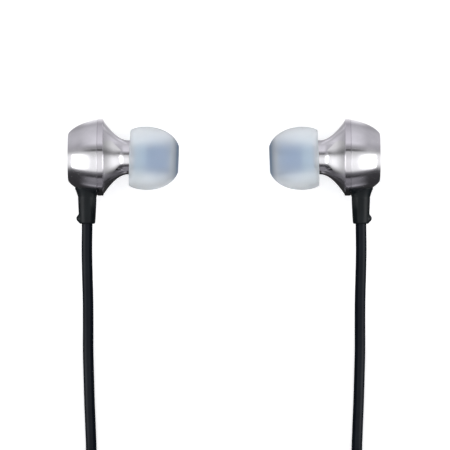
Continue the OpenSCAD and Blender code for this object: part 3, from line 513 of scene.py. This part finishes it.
on_sleeve = (TIP_OUTLINE[:, 0] <= SLEEVE_R + 0.01) & (TIP_OUTLINE[:, 1] < WEB_U)
tip_tone[on_sleeve] = np.where(TIP_OUTLINE[on_sleeve, 1] > SLEEVE_STEP_U + 0.05,
                               FRONT_SLEEVE_TONE, REAR_SLEEVE_TONE)

boot_edge_r, boot_edge_u = BOOT_END_R + 0.04, BOOT_END - BOOT_ROUND
BOOT_OUTLINE = line(
    (BOOT_BORE_R, BOOT_TOP - BOOT_FOOT), (BOOT_FLARE_R, BOOT_TOP - BOOT_FOOT),
    bend((BOOT_FLARE_R, BOOT_TOP - 1.6), (BOOT_FLARE_R - 0.37, BOOT_TOP - 0.7),
         (BOOT_TOP_R, BOOT_TOP), 16),
    bend((BOOT_TOP_R, BOOT_TOP + 0.3), (1.68, 10.2), (boot_edge_r, boot_edge_u - 0.01), 48),
    corner((boot_edge_r - BOOT_ROUND, boot_edge_u), BOOT_ROUND, 0, 90), (BOOT_BORE_R, BOOT_END))


def with_dot(lie):
    """Raises the marker dot on the strain relief's outer side: its skin is moved outwards by
    DOT_H exp(-(d / DOT_R)^3), where d is the distance on the skin from the dot's middle."""
    def put(p):
        r = np.hypot(p[..., 1], p[..., 2])
        turn = np.arctan2(p[..., 2], -p[..., 1])
        d = np.hypot(p[..., 0] - (BOOT_END - DOT_FROM_END), BOOT_END_R * turn)
        rise = DOT_H * np.exp(-(d / DOT_R) ** 3) * (r > BOOT_BORE_R + 0.05)
        grow = (r + rise) / r
        return lie(np.stack([p[..., 0], p[..., 1] * grow, p[..., 2] * grow], -1))
    return put


ROOT = "housings_and_cord"

for word, side in (("left", -1), ("right", 1)):
    shell = turned(word + "_rear_housing", REAR_OUTLINE, on_bud(side), sharp=50)
    place_piece(shell, satin_aluminium, ROOT, "satin_shell", word + "_rear_shell")
    ring = turned(word + "_bezel_ring", RING_OUTLINE, on_bud(side), sharp=50)
    place_piece(ring, polished_ring, ROOT, "polished_trim", word + "_trim_ring")
    horn = turned(word + "_front_horn", HORN_OUTLINE, on_bud(side), sharp=50)
    place_piece(horn, satin_aluminium, ROOT, "satin_shell", word + "_front_shell")
    tip = turned(word + "_silicone_tip", TIP_OUTLINE, on_tip(side), tone=tip_tone)
    place_piece(tip, milky_silicone, word + "_tip", "tip_silicone", word + "_ear_tip")
    tip.visible_glossy = False      # the horn mirrors the studio alone
    boot = turned(word + "_cord_boot", BOOT_OUTLINE, with_dot(on_boot(side)), 128, sharp=50)
    place_piece(boot, moulded_elastomer, ROOT, "moulded_rubber", word + "_strain_relief")
    shim = turned(word + "_seam_shim", SHIM_OUTLINE, on_bud(side), sharp=50)
    place_piece(shim, steel_shim, ROOT, "polished_trim")


# ---- Cords ----

side_coil = coil_line(SIDE_CENTRE, SIDE_R, SIDE_START, SIDE_STEPS, SIDE_LAYERS)
main_coil = coil_line(MAIN_CENTRE, MAIN_R, MAIN_START, MAIN_STEPS, MAIN_LAYERS)
to_right = np.array([-1.0, 1.0, 1.0])
left_line = np.vstack([SIDE_ROUTE, side_coil, LEFT_TAIL])
right_line = np.vstack([np.array(SIDE_ROUTE) * to_right, side_coil * to_right, RIGHT_TAIL])
main_line = np.vstack([MAIN_ROUTE, main_coil, MAIN_TAIL])

# Name, route, where it leaves what holds it, what is on its far end, and the solids it stands for
cords = [
    ("left_branch_cord", left_line, (-26, -BOOT_END, AXIS_Z), "fitting",
     ["left_cord", "left_cord_coil", "left_cord_tail"]),
    ("right_branch_cord", right_line, (26, -BOOT_END, AXIS_Z), "fitting",
     ["right_cord", "right_cord_coil", "right_cord_tail"]),
    ("main_trunk_cord", main_line, (-6, -108.5, 2.2), "plug",
     ["main_cord", "main_cord_coil", "main_cord_tail"]),
]
for name, points, cord_exit, far_end, solids in cords:
    centre_line = flow(points)
    piece = tube(name, centre_line, CORD_D)
    place_piece(piece, cord_jacket, ROOT, "cord_jacket", *solids)


# ---- Straps ----

def strap(name, coil, centre, angle, mirror=1):
    """Tape wound tight round a coil's turns at one angle. Its loop's points are, for directions all
    round, the farthest point c + q (cos, sin) of the circles of radius q round the turns' centres
    c, seen along the coil. The loop is carried across the tape's width, with the wall's inner and
    outer line joined into one closed outline with rounded edges."""
    turn = np.degrees(np.arctan2(coil[:, 1] - centre[1], coil[:, 0] - centre[0]))
    away = np.hypot(coil[:, 0] - centre[0], coil[:, 1] - centre[1])
    off = np.radians((turn - angle + 180) % 360 - 180)
    held = (np.abs(away * np.sin(off)) < STRAP_W / 2 + 0.6) & (np.cos(off) > 0)
    centres = np.stack([away[held] * np.cos(off[held]), coil[held, 2]], 1)
    a = np.radians(np.linspace(0, 360, 120, endpoint=False))
    facing = np.stack([np.cos(a), np.sin(a)], 1)
    farthest = centres[np.argmax(facing @ centres.T, axis=1)]
    inner_r = CORD_D / 2 + STRAP_PLAY
    inside, outside = farthest + inner_r * facing, farthest + (inner_r + STRAP_T) * facing
    outside[:, 1] = np.maximum(outside[:, 1], 0.02)           # stays clear of the floor
    middle = (inside + outside) / 2
    across = np.concatenate([[-1], np.linspace(-0.94, 0.94, 9), [1]]) * STRAP_W / 2
    edge = np.where(np.abs(across) > STRAP_W / 2 * 0.97, 0.35, 0.0)
    rows = [inside * (1 - e) + middle * e for e in edge]
    back = [outside * (1 - e) + middle * e for e in edge]
    section = np.stack(rows + back[::-1])                     # round the wall, then along the tape
    y = np.concatenate([across, across[::-1]])[:, None] + 0 * section[..., 0]
    a = math.radians(angle)
    along, z = section[..., 0], section[..., 1]
    points = np.stack([mirror * (centre[0] + along * math.cos(a) - y * math.sin(a)),
                       centre[1] + along * math.sin(a) + y * math.cos(a), z], -1)
    return grid_piece(name, points)


straps = [
    strap("left_coil_tie", flow(side_coil), SIDE_CENTRE, 315),
    strap("right_coil_tie", flow(side_coil), SIDE_CENTRE, 315, -1),
    strap("main_coil_tie_1", flow(main_coil), MAIN_CENTRE, 45),
    strap("main_coil_tie_2", flow(main_coil), MAIN_CENTRE, 315),
]
for tie in straps:
    place_piece(tie, strap_fabric, ROOT, "strap_fabric")
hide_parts("coil_straps")


# ---- Studio ----
# A white world and floor for the camera, and a tent whose glow is painted reflection, which shows
# in reflections alone.

FLOOR_HALF, FLOOR_GLOW = 4, 0.45


def ray_kinds(owner):
    """Two outputs: 1 for a camera or glossy ray, and 1 for a transmission ray."""
    path = add(owner, "LightPath").outputs
    direct = add(owner, "Math", {0: path["Is Camera Ray"], 1: path["Is Glossy Ray"]},
                 operation="MAXIMUM")
    return direct.outputs[0], path["Is Transmission Ray"]


def world_and_floor():
    """White world and floor for the camera. The floor also takes the object's soft shadow."""
    world = bpy.data.worlds.new("studio")
    bpy.context.scene.world = world
    world.use_nodes = True
    world.node_tree.nodes.clear()
    direct, through = ray_kinds(world)
    seen = add(world, "Math", {0: direct, 1: through}, operation="MAXIMUM")
    room = add(world, "Background", {"Color": colour("#f3f3f5"), "Strength": 0.85})
    white = add(world, "Background", {"Color": (1, 1, 1, 1), "Strength": 1.0})
    both = add(world, "MixShader", {0: seen.outputs[0], 1: room.outputs[0], 2: white.outputs[0]})
    world.node_tree.links.new(both.outputs[0], add(world, "OutputWorld").inputs["Surface"])

    floor_white = new_material("white_paper_floor")
    direct, through = ray_kinds(floor_white)
    seen = add(floor_white, "Math", {0: direct, 1: FLOOR_GLOW}, operation="MULTIPLY")
    seen = add(floor_white, "Math", {0: seen.outputs[0], 1: through}, operation="MAXIMUM")
    paper = add(floor_white, "BsdfDiffuse", {"Color": (0.86, 0.86, 0.86, 1)})
    glow = add(floor_white, "Emission", {"Color": (1, 1, 1, 1), "Strength": seen.outputs[0]})
    total = add(floor_white, "AddShader", {0: paper.outputs[0], 1: glow.outputs[0]})
    floor_white.node_tree.links.new(
        total.outputs[0], add(floor_white, "OutputMaterial").inputs["Surface"])
    mesh = bpy.data.meshes.new("studio_floor")
    mesh.from_pydata([(x * FLOOR_HALF, y * FLOOR_HALF, 0)
                      for x, y in ((-1, -1), (1, -1), (1, 1), (-1, 1))], [], [(0, 1, 2, 3)])
    mesh.materials.append(floor_white)
    floor = bpy.data.objects.new("studio_floor", mesh)
    bpy.context.scene.collection.objects.link(floor)


# The tent's glow is painted reflection: the brightness that a bud's skin should mirror when seen
# from above. The number before each brightness is the skin's turn round the bud's axis, in degrees:
# 0 faces up, 90 the far side of the tent, and -90 the near side. A painted white band lies between
# black and lilac-grey painted sides, with a dark painted line beside the white. OVER is for skin
# along the axis, ENDS for skin that leans outwards, and BETWEEN for the horns, which lean to each
# other.
OVER = [
    (-90, 0.02), (-52.5, 0.02), (-50, 0.06), (-48.5, 0.14), (-47.7, 0.42), (-45.6, 0.3),
    (-44, 0.21), (-39.5, 0.27), (-33.7, 0.26), (-32.5, 0.07), (-30, 0.05), (-27, 0.13),
    (-25, 0.22), (-23.5, 0.4), (-21, 0.95), (-16.5, 1.08), (-5, 1.12), (-1.5, 1), (2, 0.85),
    (5, 0.72), (8.3, 0.6), (9.3, 0.12), (11.3, 0.06), (12.4, 0.35), (15, 0.34), (18.5, 0.62),
    (21.5, 0.88), (24.5, 0.85), (31.5, 0.81), (39.5, 0.74), (48.7, 0.61), (52.8, 0.5),
    (55.3, 0.62), (60, 0.93), (65, 1), (90, 1),
]
ENDS = [
    (-90, 0.02), (-46, 0.04), (-34, 0.05), (-29, 0.07), (-25.5, 0.16), (-23, 0.36), (-20, 0.7),
    (-16, 1), (-12, 1.1), (-7, 1.12), (2, 1.05), (6, 0.9), (9, 0.6), (11.3, 0.48), (17, 0.45),
    (22, 0.48), (28, 0.56), (35, 0.58), (46, 0.54), (53, 0.4), (58, 0.45), (65.5, 0.75), (75, 1),
    (90, 1),
]
BETWEEN = [
    (-90, 0.02), (-52, 0.02), (-47, 0.04), (-41, 0.09), (-35, 0.15), (-30, 0.38), (-25, 0.75),
    (-20, 1), (-15.6, 1.12), (-7, 1.1), (-2, 1), (2.5, 0.8), (5, 0.5), (8, 0.3), (11.4, 0.35),
    (16, 0.55), (21, 0.72), (30, 0.74), (48, 0.67), (55, 0.43), (64, 0.7), (72, 1), (90, 1),
]
BETWEEN_BY_LEAN = [(40, 1.18), (46, 1.1), (54, 0.62)]    # the horns' light, dimmer near the ring

# A painted strip of glow near each end of the tent, no lamp, as factors by turn and by lean
PAINTED_STRIP_GLOW, STRIP_TURN, STRIP_LEAN = 2.6, (-23, -17, 1, 6), (15, 27, 38, 42)

# How strongly the painted reflection is lilac, by turn
LILAC = [(-55, 0), (-50, 1.4), (-33, 1.4), (-25, 1), (-22, 0), (7, 0), (20, 1), (55, 1), (65, 0)]

BUD_X = 0.024              # the bud's place in the tent, in metres from the middle plane
TENT_R, GROUND = 0.5, 0.0003


def soft_step(value, low, high):
    """0 below low, 1 above high, and 3t^2 - 2t^3 between them."""
    t = np.clip((value - low) / (high - low), 0, 1)
    return t * t * (3 - 2 * t)


def listed(value, pairs):
    return np.interp(value, *zip(*pairs))


def mirrored_light(turn, lean):
    """Painted reflection that skin with this turn and outward lean mirrors, in degrees: the three
    lists blended by the lean."""
    outwards, inwards = soft_step(lean, 12, 26), soft_step(-lean, 28, 42)
    level = (1 - outwards - inwards) * listed(turn, OVER) + outwards * listed(turn, ENDS)
    return level + inwards * listed(turn, BETWEEN) * listed(-lean, BETWEEN_BY_LEAN)


def horn_rays():
    """Rays that the left horn mirrors from above: their starts, directions d = 2 nz n - z, and the
    painted reflection that they should find."""
    skin = horn_curve[:-1]
    slope = np.gradient(skin, axis=0)
    lean = np.degrees(np.arctan2(slope[:, 0], slope[:, 1]))[:, None]
    turn = np.linspace(-89, 89, 179)[None, :]
    a, b = np.radians(-lean), np.radians(turn)
    r, u = skin[:, :1] * MM, skin[:, 1:] * MM
    start = np.stack([u - BACK_X * MM + 0 * b, r * np.sin(b), AXIS_Z * MM + r * np.cos(b)], -1)
    n = np.stack([np.sin(a) + 0 * b, np.cos(a) * np.sin(b), np.cos(a) * np.cos(b)], -1)
    d = 2 * n[..., 2:] * n - np.array([0.0, 0.0, 1.0])
    wanted = mirrored_light(turn + 0 * lean, lean + 0 * turn)
    leans = lean + 0 * turn < -20
    return start[leans], d[leans], wanted[leans]


def nearest_light(hits, level, points):
    """Mean light of the eight hits nearest to each point."""
    tree = KDTree(len(hits))
    for k, place in enumerate(hits.tolist()):
        tree.insert(place, k)
    tree.balance()
    means = [level[[k for _, k, _ in tree.find_n(q, 8)]].mean()
             for q in points.reshape(-1, 3).tolist()]
    return np.array(means).reshape(points.shape[:-1])


def lilac(level, turn):
    """The faint lilac cast painted into the reflection, on brightness at skin turned so many
    degrees.
    """
    cast = listed(turn, LILAC)
    return level[..., None] * (1 + cast[..., None] * np.array([0.0, -0.018, 0.04]))


def painted_tent_glow(points):
    """Painted glow of the tent at its own points, as linear colour: the reflection that the skin
    mirroring each point should show. Seen from a bud along the unit vector d, a point is mirrored
    by skin whose normal is halfway between d and up: turned by atan(dy / (1 + dz)) and leaning by
    asin(nx). On the ground between the buds it is what the horns should find."""
    x, y, z = np.abs(points[..., 0]), points[..., 1], points[..., 2] - AXIS_Z * MM
    size = np.sqrt((x - BUD_X) ** 2 + y ** 2 + z ** 2)
    turn = np.degrees(np.arctan2(y, size + z))
    lean = np.degrees(np.arctan2(x - BUD_X, np.hypot(y, size + z)))
    level = mirrored_light(turn, np.abs(lean))
    strip = np.interp(turn, STRIP_TURN, (0, 1, 1, 0)) * np.interp(lean, STRIP_LEAN, (0, 1, 1, 0))
    level = level + PAINTED_STRIP_GLOW * strip
    start, d, wanted = horn_rays()
    down = d[:, 2] < -0.03
    hits = start[down] - d[down] * (start[down, 2:] / d[down, 2:])
    hits[:, 0] = np.abs(hits[:, 0])
    near = (points[..., 2] < 0.001) & (x < 0.019) & (np.abs(y) < 0.08)
    middle = 1 - soft_step(x[near], 0.0145, 0.0185)
    found = nearest_light(hits, wanted[down], np.stack([x[near], y[near], 0 * y[near]], -1))
    level[near] = (1 - middle) * level[near] + middle * found
    return lilac(level, turn)


def only_mirrored(prop):
    """Marks a studio prop that shows in reflections alone."""
    prop.visible_camera = prop.visible_diffuse = prop.visible_transmission = False
    prop.visible_shadow = prop.visible_volume_scatter = False


def glowing_sheet(name, points, light):
    """Sheet on a grid of points in metres that glows with a painted linear colour at each of them,
    though it is no lamp, and shows in reflections alone."""
    n, m = points.shape[:2]
    i, j = np.meshgrid(np.arange(n - 1), np.arange(m - 1), indexing="ij")
    first = i * m + j
    faces = np.stack([first, first + 1, first + m + 1, first + m], -1).reshape(-1, 4)
    mesh = bpy.data.meshes.new(name)
    mesh.from_pydata(points.reshape(-1, 3).tolist(), [], faces.tolist())
    kept = mesh.attributes.new("glow", "FLOAT_COLOR", "POINT")
    rgba = np.concatenate([light, np.ones_like(light[..., :1])], -1)
    kept.data.foreach_set("color", rgba.astype(np.float32).ravel())
    painted_glow = new_material(name + "_cloth")
    own = add(painted_glow, "Attribute", attribute_name="glow").outputs["Color"]
    glow = add(painted_glow, "Emission", {"Color": own, "Strength": 1.0})
    painted_glow.node_tree.links.new(glow.outputs[0], add(painted_glow, "OutputMaterial").inputs["Surface"])
    painted_glow.cycles.emission_sampling = "NONE"
    mesh.materials.append(painted_glow)
    sheet = bpy.data.objects.new(name, mesh)
    bpy.context.scene.collection.objects.link(sheet)
    only_mirrored(sheet)


def light_tent():
    """Tunnel along X round the buds, which carries the painted reflections: half round above the
    floor, and flat just over it. Its grid is fine near the buds and coarse far away."""
    up = np.radians(np.linspace(-90, 90, 181))
    roof = np.stack([TENT_R * np.sin(up), TENT_R * np.cos(up) + GROUND], 1)
    y = np.concatenate([np.geomspace(TENT_R, 0.031, 36), np.linspace(0.03, 0, 61)])
    y = np.concatenate([y, -y[-2::-1]])
    ground = np.stack([y, np.full(len(y), GROUND)], 1)
    section = np.vstack([roof, ground[1:]])
    x = np.concatenate([np.arange(0, 0.05, 0.001), 0.05 * 1.16 ** np.arange(31)])
    x = np.concatenate([-x[:0:-1], x])
    points = np.stack([x[None, :] + 0 * section[:, :1], section[:, :1] + 0 * x,
                       section[:, 1:] + 0 * x], -1)
    glowing_sheet("light_tent", points, painted_tent_glow(points))


def middle_card():
    """Small card on the middle plane, from the ground to a little over the buds, that keeps each
    horn from mirroring the other bud. It glows with painted reflection, though it is no lamp: the
    light that the horns' rays should find."""
    y, z = np.meshgrid(np.linspace(-0.016, 0.016, 65), np.linspace(0.0004, 0.0224, 45),
                       indexing="ij")
    points = np.stack([0 * y, y, z], -1)
    start, d, wanted = horn_rays()
    across = d[:, 0] > 0.05
    hits = start[across] - d[across] * (start[across, :1] / d[across, :1])
    above = (hits[:, 2] > 0) & (hits[:, 2] < 0.03) & (np.abs(hits[:, 1]) < 0.03)
    level = nearest_light(hits[above] * np.array([0, 1, 1]), wanted[across][above], points)
    glowing_sheet("middle_card", points, level[..., None] * np.ones(3))


def low_card():
    """Low card across the cords, in front of the coils, that keeps the buds from mirroring the
    coils and the plug. It glows with the tent's painted reflection behind it, though it is no lamp."""
    x, z = np.meshgrid(np.linspace(-0.05, 0.05, 51), np.linspace(0.0012, 0.0112, 41),
                       indexing="ij")
    points = np.stack([x, 0 * x - 0.057, z], -1)
    glowing_sheet("low_card", points, painted_tent_glow(points))


def black_flag(name, side):
    """Narrow black card along the inner side of a cord, 4.5 mm from its line and from 1 mm below
    to 5 mm above it, which shows in reflections alone. It is a painted dark reflection, which keeps
    the tent's painted strip of glow and the ground off that side of the cord."""
    black = new_material("black_card")
    none = add(black, "Emission", {"Color": (0, 0, 0, 1), "Strength": 0.0})
    black.node_tree.links.new(none.outputs[0], add(black, "OutputMaterial").inputs["Surface"])
    run = flow(SIDE_ROUTE)
    run = run[run[:, 1] < -9.5] * np.array([-side, 1.0, 1.0])      # only below the strain relief
    edges = [run + np.array([-4.5 * side, 0.0, up]) for up in (-1, 5)]
    n = len(run)
    mesh = bpy.data.meshes.new(name)
    mesh.from_pydata((np.vstack(edges) * MM).tolist(), [],
                     [(k, k + 1, n + k + 1, n + k) for k in range(n - 1)])
    mesh.materials.append(black)
    flag = bpy.data.objects.new(name, mesh)
    bpy.context.scene.collection.objects.link(flag)
    only_mirrored(flag)


def softbox(name, place, aim, size, watts):
    """Large soft lamp that lights matt surfaces and the floor. The tent stands in for it in
    reflections."""
    lamp = bpy.data.lights.new(name, "AREA")
    lamp.shape = "RECTANGLE"
    lamp.size, lamp.size_y = size
    lamp.energy = watts
    holder = bpy.data.objects.new(name, lamp)
    holder.location = place
    holder.rotation_euler = (Vector(aim) - Vector(place)).to_track_quat("-Z", "Y").to_euler()
    holder.visible_glossy = False
    bpy.context.scene.collection.objects.link(holder)


world_and_floor()
light_tent()
middle_card()
low_card()
black_flag("left_black_flag", -1)
black_flag("right_black_flag", 1)
softbox("overhead_softbox", (0.0, -0.02, 0.6), (0.0, -0.02, 0.0), (1.4, 0.7), 1.6)

bpy.context.scene.view_settings.view_transform = "Standard"
